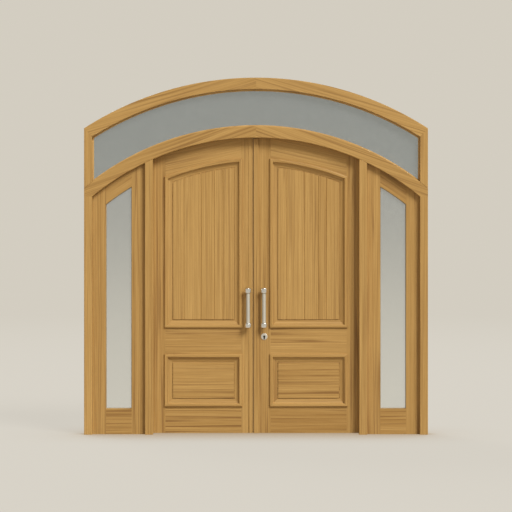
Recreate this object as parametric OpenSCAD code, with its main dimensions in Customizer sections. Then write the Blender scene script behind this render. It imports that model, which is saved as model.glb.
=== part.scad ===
// Arched double entrance door of solid wood: two panelled leaves, two glazed
// sidelights and a curved transom light in one frame.
// X runs across the doorway, Y from outside to inside, Z up from the floor.

/* [Doorway] */
// Clear width between the two mullions
doorway_w = 1600; // [1500:10:1800]
// Height of the doorway at the crown of its arch
doorway_h = 2304; // [2200:1:2500]
// Radius of the doorway arch
doorway_r = 1996; // [1850:1:2400]

/* [Frame] */
// Face width of each jamb
jamb_w = 62; // [50:1:90]
// Face width of each mullion
mullion_w = 62; // [56:1:90]
// Clear width of each sidelight opening
sidelight_w = 410; // [360:5:480]
// Face width of the head arch
head_w = 90; // [75:1:120]
// Height of the transom light between the two arches
transom_h = 286; // [200:1:360]
// Face width of the crown arch
crown_w = 90; // [70:1:120]
// Depth of the frame from front to back
frame_d = 120; // [112:1:150]
// Chamfer on the front arrises of the frame
arris = 3; // [1:0.5:6]
// Width of the rebate that a leaf closes into
rebate_w = 15; // [12:1:20]
// Depth of the groove that holds a sidelight sash
groove_d = 8; // [5:1:12]

/* [Sidelights and transom] */
// Thickness of a sidelight sash
sash_t = 45; // [38:1:52]
// Distance of the sash behind the front of the frame
sash_recess = 40; // [30:1:48]
// Visible width of a sash stile
sash_stile_w = 105; // [80:1:130]
// Visible width of the arched sash rail
sash_top_w = 111; // [80:1:140]
// Height of the bottom sash rail
sash_bottom_h = 200; // [140:1:260]
// Thickness of the sidelight glass
glass_t = 6; // [4:1:10]
// Thickness of the transom glass
transom_glass_t = 8; // [4:1:12]
// Width of a glazing bead
bead_w = 10; // [8:1:14]
// Thickness of a glazing bead
bead_t = 14; // [8:1:16]

/* [Door leaves] */
// Thickness of a leaf
leaf_t = 45; // [42:1:50]
// Width of a hinge stile
hinge_stile_w = 106; // [95:1:125]
// Width of the left meeting stile
meeting_stile_w = 90; // [85:1:105]
// Width of the arched top rail
top_rail_w = 175; // [150:1:200]
// Height of the middle rail
mid_rail_w = 219; // [200:1:240]
// Height of the bottom rail
bottom_rail_w = 213; // [180:1:240]
// Height of the lower panel opening
lower_panel_h = 395; // [340:1:430]
// Thickness of a panel at its border
panel_t = 20; // [16:1:24]
// Visible widths of the left boards, from the meeting stile outwards
left_boards = [93, 66, 105, 132]; // [50:1:140]
// Visible widths of the right boards, from the meeting stile outwards
right_boards = [73, 139, 107, 64]; // [50:1:140]
// Depth of the V joint between two boards
vee = 3; // [1:0.5:4]
// Length of a rail tenon
tenon_l = 25; // [15:1:28]
// Thickness of a rail tenon
tenon_t = 15; // [10:1:18]
// Width of the strip over the meeting line
astragal_w = 40; // [30:1:46]
// Thickness of the strip over the meeting line
astragal_t = 12; // [8:1:16]
// Width of the bead along the meeting edge of the left leaf
edge_bead_w = 34; // [28:1:40]
// Width and depth of the groove beside that bead
edge_bead_groove = 3; // [2:0.5:4]

/* [Panel mouldings] */
// Width of a moulding
moulding_w = 60; // [50:1:70]
// Height of a moulding above the stiles
moulding_rise = 17; // [13:0.5:22]
// Overlap of a moulding on the stiles and rails
moulding_lip = 8; // [5:1:12]
// Rise of the raised field of a panel above its border
field_rise = 7.5; // [4:0.5:9]
// Gap between a moulding and the raised field
field_gap = 7; // [1:0.5:10]

/* [Gaps] */
// Gap between a leaf and the side of its rebate
side_gap = 3; // [2.5:0.1:4]
// Gap between a leaf and the arch above it
top_gap = 4; // [3:0.5:6]
// Gap between a leaf and the floor
floor_gap = 6; // [4:1:12]
// Gap between the two leaves
meeting_gap = 4; // [3:0.5:6]
// Gap between a closed leaf and its stop
stop_gap = 0.5; // [0.3:0.1:2]
// Gap around a panel inside its stiles and rails
panel_gap = 3; // [2:0.5:5]
// Gap around glass inside its rebate
glass_gap = 3; // [2:0.5:4]
// Gap of a glued or bedded joint
joint_gap = 0.2; // [0.1:0.05:0.4]

/* [Hinges] */
// Height of the lowest hinge of a leaf
hinge_z = 230; // [200:1:300]
// Distance of the highest hinge below the upper corner of its leaf
hinge_drop = 213; // [180:1:300]
// Height of a hinge
hinge_h = 100; // [80:5:120]
// Width of a hinge plate in the wood
hinge_plate_w = 30; // [24:1:34]
// Thickness of a hinge plate
hinge_plate_t = 2.5; // [2:0.1:3]
// Radius of a hinge knuckle
knuckle_r = 7; // [6.5:0.1:7.5]
// Radius of a hinge pin
pin_r = 4; // [3:0.1:4.5]
// Radial play of a hinge pin
pin_play = 0.05; // [0.02:0.01:0.1]
// Gap between two knuckles
knuckle_gap = 0.3; // [0.2:0.1:0.6]
// Distance of the hinge axis behind the leaf
hinge_throw = 8; // [7.9:0.1:10]

/* [Pull handles] */
// Distance of a pull handle from the middle of the doorway
pull_x = 62; // [55:1:68]
// Height of the lower end of a pull handle
pull_z = 828; // [780:1:900]
// Length of a pull handle
pull_h = 308; // [260:1:400]
// Diameter of the grip
grip_d = 30; // [24:1:34]
// Diameter of an end ferrule
ferrule_d = 50; // [40:1:54]
// Length of an end ferrule
ferrule_h = 38; // [30:1:46]
// Distance of the grip axis from the leaf
pull_reach = 50; // [46:1:60]
// Diameter of a post
post_d = 22; // [16:1:26]
// Diameter of a post's foot
foot_d = 40; // [36:1:50]

/* [Lock] */
// Height of the key cylinder
lock_z = 758; // [720:1:770]
// Distance of the key cylinder from the leaf's edge
lock_backset = 84; // [76:1:88]
// Travel of the lock bolt
bolt_throw = 20; // [14:1:22]
// Height of the lock bolt
bolt_h = 35; // [25:1:40]
// Thickness of the lock bolt
bolt_t = 10; // [8:1:11]
// Diameter of the key plug
plug_d = 13; // [11:0.5:13.5]
// Diameter of a lock rosette
rosette_d = 52; // [46:1:56]
// Diameter of the flush bolt
flush_d = 12; // [10:1:13]
// Travel of the flush bolt
flush_throw = 15; // [10:1:16]

/* [Wall fixing] */
// Diameter of a wall anchor hole
anchor_d = 10; // [8:0.5:12]
// Height of the lower anchor hole
anchor_z = 400; // [300:10:500]
// Spacing of the two anchor holes
anchor_pitch = 1000; // [800:10:1200]

/* [Hidden] */

$fn = 48;
arch_fn = 256;
span_over = 2;
left = -1;
right = 1;
cut = 1;

wood = [0.73, 0.57, 0.33];
wood_dark = [0.62, 0.46, 0.24];
steel = [0.78, 0.77, 0.74];
brass = [0.70, 0.60, 0.38];
glazing = [0.62, 0.66, 0.66, 0.6];
iron = [0.16, 0.15, 0.14];

// Depths
y_in = leaf_t / 2;
y_out = y_in - frame_d;
leaf_front = -leaf_t / 2;
stop_y = leaf_front - stop_gap;
sash_y0 = y_out + sash_recess;
sash_y1 = sash_y0 + sash_t;
sash_glass_y = sash_y1 - bead_t - glass_t - arris;
transom_glass_y = (y_out + y_in - transom_glass_t) / 2;
panel_drop = (leaf_t - panel_t) / 2;
border_y = panel_t / 2;
field_y = border_y + field_rise;

// Upright and arch lines of the frame
arch_z = doorway_h - doorway_r;
mullion_in = doorway_w / 2;
mullion_out = mullion_in + mullion_w;
jamb_in = mullion_out + sidelight_w;
jamb_out = jamb_in + jamb_w;
head_r = doorway_r + head_w;
crown_in_r = head_r + transom_h;
crown_r = crown_in_r + crown_w;
jamb_top = arc_z(doorway_r, jamb_in);
crown_in_z = arc_z(crown_in_r, jamb_in);
crown_out_z = arc_z(crown_r, jamb_out);
crown_slope = (crown_out_z - crown_in_z) / jamb_w;
frame_top = arch_z + crown_r;

// Sash lines
light_in = mullion_out + sash_stile_w;
light_out = jamb_in - sash_stile_w;
light_r = doorway_r - sash_top_w;
sash_r = doorway_r + groove_d - joint_gap;

// Leaf lines, measured from the middle of the doorway
leaf_out = mullion_in + rebate_w - side_gap;
leaf_r = doorway_r + rebate_w - top_gap;
right_edge = -astragal_w / 2;
left_edge = astragal_w / 2 + meeting_gap;
open_in = left_edge + meeting_stile_w;
open_out = leaf_out - hinge_stile_w;
low_z0 = floor_gap + bottom_rail_w;
low_z1 = low_z0 + lower_panel_h;
up_z0 = low_z1 + mid_rail_w;
up_r = leaf_r - top_rail_w;
field_inset = moulding_w - moulding_lip + field_gap;
tenon_shoulder = 30;
board_gap = 0.4;
tongue_l = 6;
tongue_t = 6;

// Hinge lines
hinge_x = leaf_out + side_gap / 2;
hinge_y = y_in + hinge_throw;
hinge_top = arc_z(leaf_r, leaf_out) - hinge_drop;
hinge_rows = [hinge_z, (hinge_z + hinge_top) / 2, hinge_top];
knuckles = 5;
pin_head_over = 2;
pin_head_r = pin_r + pin_head_over;
pin_head_h = 4;

// Lock and bolt lines
lock_x = right_edge + lock_backset;
plate_t = 3;
plate_w = 20;
case_t = 16;
case_wall = 2;
case_reach = 14;
case_back = lock_x + case_reach;
case_low = 60;
case_high = 60;
forend_over = 20;
bolt_play = 0.3;
bolt_tail = 46;
profile_r = 8.5;
profile_tail_r = 5;
profile_drop = 17.5;
rosette_t = 6;
rosette_round = 3;
foot_t = 5;
ferrule_round = 7;
flush_r = flush_d / 2;
flush_inset = 16;
flush_sink = 3;
flush_x = left_edge + flush_inset;
flush_top = arc_z(leaf_r, flush_x) - flush_sink;
flush_low = 180;
flush_l = 150;
flush_foot = flush_top - flush_l - flush_low;
flush_mid = flush_top - flush_low;
flush_plate_h = 120;
flush_slide_h = 16;
flush_slide_t = 8;
keep_play = 0.5;
keep_depth = 12;

// Moulding profile sizes
crest_r = 10;
step_r = 6;
step_u = 26;
cove_u = 28;
cove_v = 0;
cove_foot = 2.5;
curve_steps = 5;

function arc_z(r, x) = arch_z + sqrt(r * r - x * x);
function sum_to(v, n) = n == 0 ? 0 : v[n - 1] + sum_to(v, n - 1);
function beyond(p, q, d) = q + (q - p) * d / norm(q - p);
function arc_points(cx, cy, r, a0, a1) =
  [for (i = [0:curve_steps]) let (a = a0 + (a1 - a0) * i / curve_steps) [cx + r * cos(a), cy + r * sin(a)]];

// Section of a panel moulding: first value inwards from its outer edge,
// second value forwards from the face of the stiles
function moulding_section() = concat(
  [[moulding_lip, -panel_drop], [moulding_lip, 0], [0, 0]],
  arc_points(crest_r, moulding_rise - crest_r, crest_r, 180, 90),
  arc_points(step_u - step_r, moulding_rise - step_r, step_r, 90, 0),
  [for (i = [0:curve_steps])
    let (t = i / curve_steps, run = moulding_w - cove_u, fall = cove_foot - panel_drop - cove_v)
    [cove_u + run * t, cove_v + fall * (1 - pow(1 - t, 2))]],
  [[moulding_w, -panel_drop]]
);

// Helpers

module sided(side) {
  mirror([side < 0 ? 1 : 0, 0, 0]) children();
}

// Extrudes an outline of the X-Z plane from depth y0 to depth y1
module face(y0, y1) {
  translate([0, y1, 0]) rotate([90, 0, 0]) linear_extrude(y1 - y0) children();
}

module arch_disc(r) {
  translate([0, arch_z]) circle(r, $fn = arch_fn);
}

module area(x0, x1, z0, z1) {
  translate([x0, z0]) square([x1 - x0, z1 - z0]);
}

module block(x0, x1, y0, y1, z0, z1) {
  translate([x0, y0, z0]) cube([x1 - x0, y1 - y0, z1 - z0]);
}

module rod_y(x, z, r, y0, y1) {
  translate([x, y1, z]) rotate([90, 0, 0]) cylinder(r = r, h = y1 - y0);
}

// Half of an arched frame member with chamfered front arrises, from the crown outwards
module arch_member(r0, r1) {
  span = asin(jamb_out / r0) + span_over;
  translate([0, 0, arch_z]) rotate([90, 0, 0])
    rotate_extrude(angle = span, start = 90 - span, $fn = arch_fn)
      polygon([
        [r0, -y_in], [r1, -y_in], [r1, -y_out - arris],
        [r1 - arris, -y_out], [r0 + arris, -y_out], [r0, -y_out - arris]
      ]);
}

module upright(x0, x1, h) {
  linear_extrude(h)
    polygon([
      [x0 + arris, y_out], [x1 - arris, y_out], [x1, y_out + arris],
      [x1, y_in], [x0, y_in], [x0, y_out + arris]
    ]);
}

// Saw kerf of a mitre between two points of the X-Z plane
module kerf(p, q) {
  a = beyond(q, p, cut);
  b = beyond(p, q, cut);
  n = [-(b - a)[1], (b - a)[0]] / norm(b - a) * joint_gap / 2;
  polygon([a + n, b + n, b - n, a - n]);
}

// Frame

module sash_space(z1) {
  block(mullion_out - groove_d, jamb_in + groove_d,
    sash_y0 - joint_gap, sash_y1 + joint_gap, -cut, z1);
}

module jamb(side) {
  anchor_y = (sash_y1 + y_in) / 2;
  color(wood) sided(side) difference() {
    upright(jamb_in, jamb_out, jamb_top);
    sash_space(jamb_top + cut);
    for (z = [anchor_z, anchor_z + anchor_pitch])
      translate([jamb_in - cut, anchor_y, z]) rotate([0, 90, 0])
        cylinder(d = anchor_d, h = jamb_w + 2 * cut);
  }
}

module hinge_mortises(x0, x1) {
  for (z = hinge_rows)
    block(x0, x1, y_in - hinge_plate_w - joint_gap, y_in + cut,
      z - hinge_h / 2 - joint_gap, z + hinge_h / 2 + joint_gap);
}

module mullion(side) {
  rebate_x = mullion_in + rebate_w;
  color(wood) sided(side) difference() {
    intersection() {
      upright(mullion_in, mullion_out, doorway_h);
      face(y_out - cut, y_in + cut) intersection() {
        area(mullion_in - cut, mullion_out + cut, -cut, doorway_h);
        arch_disc(doorway_r - joint_gap);
      }
    }
    block(mullion_in - cut, rebate_x, stop_y, y_in + cut, -cut, doorway_h);
    sash_space(doorway_h);
    hinge_mortises(rebate_x - cut, rebate_x + hinge_plate_t);
  }
}

module head_arch(side) {
  color(wood) sided(side) difference() {
    intersection() {
      arch_member(doorway_r, head_r);
      face(y_out - cut, y_in + cut) area(-cut, jamb_out, jamb_top, frame_top);
    }
    face(stop_y, y_in + cut) intersection() {
      area(-cut, mullion_in + rebate_w, 0, frame_top);
      arch_disc(doorway_r + rebate_w);
    }
    face(sash_y0 - joint_gap, sash_y1 + joint_gap) intersection() {
      area(mullion_out - groove_d, jamb_in + groove_d, 0, frame_top);
      arch_disc(doorway_r + groove_d);
    }
    if (side == left)
      translate([flush_x, 0, flush_top]) cylinder(r = flush_r + keep_play, h = flush_throw + keep_depth);
  }
}

module transom_post(side) {
  color(wood) sided(side) intersection() {
    upright(jamb_in, jamb_out, frame_top);
    face(y_out - cut, y_in + cut) difference() {
      polygon([
        [jamb_in - cut, jamb_top], [jamb_out + cut, jamb_top],
        [jamb_out + cut, crown_out_z + crown_slope * cut - joint_gap],
        [jamb_in - cut, crown_in_z - crown_slope * cut - joint_gap]
      ]);
      arch_disc(head_r + joint_gap);
    }
  }
}

module crown_arch(side) {
  color(wood) sided(side) intersection() {
    arch_member(crown_in_r, crown_r);
    face(y_out - cut, y_in + cut)
      polygon([
        [-cut, arch_z], [-cut, frame_top + cut], [jamb_out, frame_top + cut],
        [jamb_out, crown_out_z], [jamb_in - cut, crown_in_z - crown_slope * cut], [jamb_in - cut, arch_z]
      ]);
  }
}

// Outline of the transom light, drawn in from the frame on every side
module transom_area(inset) {
  difference() {
    intersection() {
      arch_disc(crown_in_r - inset);
      area(inset - jamb_in, jamb_in - inset, arch_z, frame_top);
    }
    arch_disc(head_r + inset);
  }
}

module transom_glass() {
  color(glazing) face(transom_glass_y, transom_glass_y + transom_glass_t) transom_area(glass_gap);
}

module transom_bead_ring() {
  inner_x = jamb_in - bead_w;
  difference() {
    transom_area(joint_gap);
    transom_area(bead_w);
    for (side = [left, right]) {
      mirror([side < 0 ? 1 : 0, 0]) {
        kerf([jamb_in, crown_in_z], [inner_x, arc_z(crown_in_r - bead_w, inner_x)]);
        kerf([jamb_in, arc_z(head_r, jamb_in)], [inner_x, arc_z(head_r + bead_w, inner_x)]);
      }
    }
  }
}

module transom_beads() {
  color(wood_dark) {
    face(transom_glass_y - bead_t, transom_glass_y) transom_bead_ring();
    face(transom_glass_y + transom_glass_t, transom_glass_y + transom_glass_t + bead_t) transom_bead_ring();
  }
}

// Outline of a sidelight's glass, grown on every side
module light_area(grow) {
  intersection() {
    area(light_in - grow, light_out + grow, sash_bottom_h - grow, frame_top);
    arch_disc(light_r + grow);
  }
}

module sash_rebate() {
  face(sash_glass_y, sash_y1 + cut) light_area(bead_w);
}

module sidelight_stiles(side) {
  color(wood) sided(side) difference() {
    face(sash_y0, sash_y1) intersection() {
      union() {
        area(mullion_out - groove_d + joint_gap, light_in, 0, frame_top);
        area(light_out, jamb_in + groove_d - joint_gap, 0, frame_top);
      }
      arch_disc(sash_r);
    }
    sash_rebate();
  }
}

module sidelight_rails(side) {
  color(wood) sided(side) difference() {
    face(sash_y0, sash_y1) {
      area(light_in, light_out, 0, sash_bottom_h);
      difference() {
        intersection() {
          area(light_in, light_out, arch_z, frame_top);
          arch_disc(sash_r);
        }
        arch_disc(light_r);
      }
    }
    sash_rebate();
  }
}

module sidelight_glass(side) {
  color(glazing) sided(side)
    face(sash_glass_y, sash_glass_y + glass_t) light_area(bead_w - glass_gap);
}

module sidelight_beads(side) {
  bead_y = sash_glass_y + glass_t;
  bead_r = light_r + bead_w;
  color(wood_dark) sided(side) face(bead_y, bead_y + bead_t) difference() {
    light_area(bead_w - joint_gap);
    light_area(0);
    for (x = [[light_in - bead_w, light_in], [light_out + bead_w, light_out]]) {
      kerf([x[0], sash_bottom_h - bead_w], [x[1], sash_bottom_h]);
      kerf([x[0], arc_z(bead_r, x[0])], [x[1], arc_z(light_r, x[1])]);
    }
  }
}

// Hinges

// One side of a butt hinge: its plate, from x0 to x1, and its share of the knuckles
module hinge_side(x0, x1, first) {
  pitch = hinge_h / knuckles;
  for (z = hinge_rows)
    translate([0, 0, z - hinge_h / 2]) difference() {
      union() {
        block(x0, x1, y_in - hinge_plate_w, y_in, 0, hinge_h);
        for (i = [first:2:knuckles - 1]) {
          low = i * pitch + (i == 0 ? 0 : knuckle_gap / 2);
          high = (i + 1) * pitch - (i == knuckles - 1 ? 0 : knuckle_gap / 2);
          block(x0, x1, y_in - cut, hinge_y, low, high);
          translate([hinge_x, hinge_y, low]) cylinder(r = knuckle_r, h = high - low);
        }
      }
      translate([hinge_x, hinge_y, -cut]) cylinder(r = pin_r + pin_play, h = hinge_h + 2 * cut);
    }
}

module frame_hinge_plates() {
  plate_x = mullion_in + rebate_w;
  color(steel) for (side = [left, right])
    sided(side) hinge_side(plate_x, plate_x + hinge_plate_t, 0);
}

module leaf_hinge_plates(side) {
  color(steel) sided(side) hinge_side(leaf_out - hinge_plate_t, leaf_out, 1);
}

module hinge_pins() {
  color(steel) for (side = [left, right]) sided(side)
    for (z = hinge_rows) translate([hinge_x, hinge_y, z - hinge_h / 2]) {
      cylinder(r = pin_r, h = hinge_h);
      translate([0, 0, hinge_h]) cylinder(r = pin_head_r, h = pin_head_h);
      translate([0, 0, -pin_head_h]) cylinder(r = pin_head_r, h = pin_head_h);
    }
}

// Leaves, drawn for the right-hand side with the meeting edge at x = edge

module leaf_area(x0, x1) {
  intersection() {
    area(x0, x1, floor_gap, frame_top);
    arch_disc(leaf_r);
  }
}

// Tenons of the rails, grown by a gap where they are cut out of the stiles
module tenons(gap) {
  y = tenon_t / 2 + gap;
  x0 = open_in - tenon_l - gap;
  x1 = open_out + tenon_l + gap;
  top0 = arc_z(up_r, x1) + tenon_shoulder;
  block(x0, x1, -y, y, floor_gap + tenon_shoulder - gap, low_z0 - tenon_shoulder + gap);
  block(x0, x1, -y, y, low_z1 + tenon_shoulder - gap, up_z0 - tenon_shoulder + gap);
  block(x0, open_in + cut, -y, y, arc_z(up_r, open_in) + tenon_shoulder - gap,
    arc_z(leaf_r, open_in) - tenon_shoulder + gap);
  block(open_out - cut, x1, -y, y, top0 - gap, arc_z(leaf_r, x1) - tenon_shoulder + gap);
}

module hinge_stile(side) {
  color(wood) sided(side) difference() {
    face(leaf_front, y_in) leaf_area(open_out, leaf_out);
    tenons(joint_gap);
    hinge_mortises(leaf_out - hinge_plate_t, leaf_out + cut);
  }
}

module left_meeting_stile() {
  color(wood) sided(left) difference() {
    face(leaf_front, y_in) leaf_area(left_edge, open_in);
    tenons(joint_gap);
    block(left_edge + edge_bead_w, left_edge + edge_bead_w + edge_bead_groove,
      leaf_front - cut, leaf_front + edge_bead_groove, 0, frame_top);
    edge_plate_recess(left_edge, strike_low(), strike_high());
    block(left_edge - cut, left_edge + plate_t + bolt_throw, -bolt_t / 2 - cut, bolt_t / 2 + cut,
      lock_z - bolt_h / 2 - cut, lock_z + bolt_h / 2 + cut);
    flush_bolt_space();
  }
}

module right_meeting_stile() {
  color(wood) difference() {
    face(leaf_front, y_in) leaf_area(right_edge, open_in);
    tenons(joint_gap);
    edge_plate_recess(right_edge, forend_low(), forend_high());
    block(right_edge + plate_t - cut, case_back + joint_gap, -case_t / 2 - joint_gap, case_t / 2 + joint_gap,
      lock_z - case_low - joint_gap, lock_z + case_high + joint_gap);
    face(leaf_front - cut, y_in + cut) key_profile(joint_gap);
  }
}

module top_rail(side) {
  color(wood) sided(side) union() {
    face(leaf_front, y_in) difference() {
      leaf_area(open_in, open_out);
      arch_disc(up_r);
    }
    intersection() {
      tenons(0);
      difference() {
        face(leaf_front, y_in) leaf_area(0, leaf_out);
        face(leaf_front - cut, y_in + cut) area(open_in, open_out, 0, frame_top);
        face(leaf_front - cut, y_in + cut) area(0, leaf_out, 0, up_z0);
      }
    }
  }
}

module cross_rail(side, z0, z1) {
  color(wood) sided(side) union() {
    block(open_in, open_out, leaf_front, y_in, z0, z1);
    block(open_in - tenon_l, open_out + tenon_l, -tenon_t / 2, tenon_t / 2,
      z0 + tenon_shoulder, z1 - tenon_shoulder);
  }
}

// Outline of the upper panel, drawn in from its opening
module upper_panel_area(inset) {
  intersection() {
    area(open_in + inset, open_out - inset, up_z0 + inset, frame_top);
    arch_disc(up_r - inset);
  }
}

// Upper panel: upright boards with V joints, tongues and grooves, raised in the middle
module upper_panel(side, widths) {
  first_x = open_in - moulding_lip + moulding_w;
  count = len(widths);
  edges = concat(
    [open_in + panel_gap],
    [for (i = [1:count]) first_x + sum_to(widths, i)],
    [open_out - panel_gap]
  );
  half = field_y;
  color(wood) sided(side) intersection() {
    for (i = [0:count]) {
      x0 = edges[i] + board_gap / 2;
      x1 = edges[i + 1] - board_gap / 2;
      linear_extrude(frame_top) difference() {
        union() {
          polygon([
            [x0 + vee, -half], [x1 - vee, -half], [x1, vee - half], [x1, half - vee],
            [x1 - vee, half], [x0 + vee, half], [x0, half - vee], [x0, vee - half]
          ]);
          if (i < count) translate([x1 - cut, -tongue_t / 2]) square([tongue_l + cut, tongue_t]);
        }
        if (i > 0)
          translate([x0 - cut, -tongue_t / 2 - joint_gap])
            square([tongue_l + joint_gap + cut, tongue_t + 2 * joint_gap]);
      }
    }
    union() {
      face(-border_y, border_y) upper_panel_area(panel_gap);
      face(-field_y, field_y) upper_panel_area(field_inset);
    }
  }
}

module lower_panel(side) {
  color(wood) sided(side) union()
    for (layer = [[panel_gap, border_y], [field_inset, field_y]])
      block(open_in + layer[0], open_out - layer[0], -layer[1], layer[1],
        low_z0 + layer[0], low_z1 - layer[0]);
}

// Moves a mitred corner, given as [outer, inner], by half a saw kerf
function kerfed(corner, way) = [for (p = corner) p + way * joint_gap / 2];

// Straight moulding between two mitred corners
module straight_moulding(corner_a, corner_b) {
  length = norm(corner_b[0] - corner_a[0]);
  run = (corner_b[0] - corner_a[0]) / length;
  inward = abs(run[0]) > abs(run[1])
    ? [0, sign(corner_a[1][1] - corner_a[0][1])]
    : [sign(corner_a[1][0] - corner_a[0][0]), 0];
  a = kerfed(corner_a, run);
  b = kerfed(corner_b, -run);
  intersection() {
    multmatrix([
      [inward[0], 0, run[0], corner_a[0][0]],
      [0, -1, 0, leaf_front],
      [inward[1], 0, run[1], corner_a[0][1]],
      [0, 0, 0, 1]
    ]) linear_extrude(length) polygon(moulding_section());
    face(-leaf_t, 0)
      polygon([
        beyond(a[1], a[0], cut), beyond(b[1], b[0], cut),
        beyond(b[0], b[1], cut), beyond(a[0], a[1], cut)
      ]);
  }
}

// Arched moulding of outer radius r between two mitred corners
module arched_moulding(r, corner_a, corner_b) {
  top = arch_z + r + cut;
  span = asin(corner_b[0][0] / r) + span_over;
  a = kerfed(corner_a, [1, 0]);
  b = kerfed(corner_b, [-1, 0]);
  intersection() {
    translate([0, leaf_front, arch_z]) rotate([90, 0, 0])
      rotate_extrude(angle = span, start = 90 - span, $fn = arch_fn)
        polygon([for (p = moulding_section()) [r - p[0], p[1]]]);
    face(-leaf_t, 0)
      polygon([
        beyond(a[0], a[1], cut), beyond(a[1], a[0], cut), [beyond(a[1], a[0], cut)[0], top],
        [beyond(b[1], b[0], cut)[0], top], beyond(b[1], b[0], cut), beyond(b[0], b[1], cut)
      ]);
  }
}

module moulding_frames() {
  x0 = open_in - moulding_lip;
  x1 = open_out + moulding_lip;
  w = moulding_w;
  r = up_r + moulding_lip;
  up = up_z0 - moulding_lip;
  low0 = low_z0 - moulding_lip;
  low1 = low_z1 + moulding_lip;
  foot_a = [[x0, up], [x0 + w, up + w]];
  foot_b = [[x1, up], [x1 - w, up + w]];
  head_a = [[x0, arc_z(r, x0)], [x0 + w, arc_z(r - w, x0 + w)]];
  head_b = [[x1, arc_z(r, x1)], [x1 - w, arc_z(r - w, x1 - w)]];
  straight_moulding(foot_a, foot_b);
  straight_moulding(foot_a, head_a);
  straight_moulding(foot_b, head_b);
  arched_moulding(r, head_a, head_b);
  corner_a = [[x0, low0], [x0 + w, low0 + w]];
  corner_b = [[x1, low0], [x1 - w, low0 + w]];
  corner_c = [[x1, low1], [x1 - w, low1 - w]];
  corner_d = [[x0, low1], [x0 + w, low1 - w]];
  straight_moulding(corner_a, corner_b);
  straight_moulding(corner_b, corner_c);
  straight_moulding(corner_d, corner_c);
  straight_moulding(corner_a, corner_d);
}

module outer_mouldings(side) {
  color(wood) sided(side) moulding_frames();
}

module inner_mouldings(side) {
  color(wood) sided(side) mirror([0, 1, 0]) moulding_frames();
}

module astragal() {
  half = astragal_w / 2;
  round_r = astragal_t / 2;
  front = leaf_front - astragal_t;
  color(wood) intersection() {
    linear_extrude(frame_top)
      polygon(concat(
        [[half, leaf_front]],
        arc_points(half - round_r, front + round_r, round_r, 0, -90),
        arc_points(round_r - half, front + round_r, round_r, -90, -180),
        [[-half, leaf_front]]
      ));
    face(front - cut, leaf_front + cut) intersection() {
      area(-astragal_w, astragal_w, floor_gap, frame_top);
      arch_disc(doorway_r - top_gap);
    }
  }
}

// Pull handles, one outside and one inside each leaf

module both_faces() {
  children();
  mirror([0, 1, 0]) children();
}

module pull_bars(side) {
  color(steel) sided(side) both_faces()
    translate([pull_x, leaf_front - pull_reach, pull_z + ferrule_h])
      cylinder(d = grip_d, h = pull_h - 2 * ferrule_h);
}

module pull_post() {
  radius = ferrule_d / 2;
  union() {
    translate([pull_x, leaf_front - pull_reach, 0]) rotate_extrude()
      polygon(concat(
        [[0, 0]],
        arc_points(radius - ferrule_round, ferrule_round, ferrule_round, -90, 0),
        arc_points(radius - ferrule_round, ferrule_h - ferrule_round, ferrule_round, 0, 90),
        [[0, ferrule_h]]
      ));
    rod_y(pull_x, ferrule_h / 2, post_d / 2, leaf_front - pull_reach, leaf_front);
    rod_y(pull_x, ferrule_h / 2, foot_d / 2, leaf_front - foot_t, leaf_front);
  }
}

module pull_posts(side) {
  color(steel) sided(side) both_faces()
    for (z = [pull_z, pull_z + pull_h - ferrule_h]) translate([0, 0, z]) pull_post();
}

// Lock in the right leaf and its strike in the left leaf

function forend_low() = lock_z - case_low - forend_over;
function forend_high() = lock_z + case_high + forend_over;
function strike_low() = lock_z - bolt_h / 2 - forend_over;
function strike_high() = lock_z + bolt_h / 2 + forend_over;

module edge_plate_recess(edge, z0, z1) {
  block(edge - cut, edge + plate_t, -plate_w / 2 - joint_gap, plate_w / 2 + joint_gap,
    z0 - joint_gap, z1 + joint_gap);
}

module bolt_hole(x0, x1) {
  block(x0, x1, -bolt_t / 2 - bolt_play, bolt_t / 2 + bolt_play,
    lock_z - bolt_h / 2 - bolt_play, lock_z + bolt_h / 2 + bolt_play);
}

module key_profile(gap) {
  translate([lock_x, lock_z]) {
    circle(profile_r + gap);
    translate([-profile_tail_r - gap, -profile_drop]) square([2 * (profile_tail_r + gap), profile_drop]);
    translate([0, -profile_drop]) circle(profile_tail_r + gap);
  }
}

module strike_plate() {
  color(steel) sided(left) difference() {
    block(left_edge, left_edge + plate_t, -plate_w / 2, plate_w / 2, strike_low(), strike_high());
    bolt_hole(left_edge - cut, left_edge + plate_t + cut);
  }
}

module lock_forend() {
  color(steel) difference() {
    block(right_edge, right_edge + plate_t, -plate_w / 2, plate_w / 2, forend_low(), forend_high());
    bolt_hole(right_edge - cut, right_edge + plate_t + cut);
  }
}

module lock_case() {
  x0 = right_edge + plate_t;
  color(iron) difference() {
    block(x0, case_back, -case_t / 2, case_t / 2, lock_z - case_low, lock_z + case_high);
    block(x0 + case_wall, case_back - case_wall, case_wall - case_t / 2, case_t / 2 - case_wall,
      lock_z - case_low + case_wall, lock_z + case_high - case_wall);
    bolt_hole(x0 - cut, x0 + case_wall + cut);
    face(-case_t, case_t) key_profile(joint_gap);
  }
}

module lock_bolt() {
  color(brass) block(right_edge, right_edge + bolt_tail, -bolt_t / 2, bolt_t / 2,
    lock_z - bolt_h / 2, lock_z + bolt_h / 2);
}

module key_cylinder() {
  color(iron) difference() {
    face(leaf_front - rosette_t, y_in + rosette_t) key_profile(0);
    rod_y(lock_x, lock_z, plug_d / 2 + pin_play, leaf_front - rosette_t - cut, y_in + rosette_t + cut);
  }
}

module key_plug() {
  slot_w = 2.5;
  slot_h = 9;
  slot_depth = 28;
  end = leaf_front - rosette_t;
  color(iron) difference() {
    rod_y(lock_x, lock_z, plug_d / 2, end, y_in + rosette_t);
    block(lock_x - slot_w / 2, lock_x + slot_w / 2, end - cut, end + slot_depth,
      lock_z - slot_h / 2, lock_z + slot_h / 2);
  }
}

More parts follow.
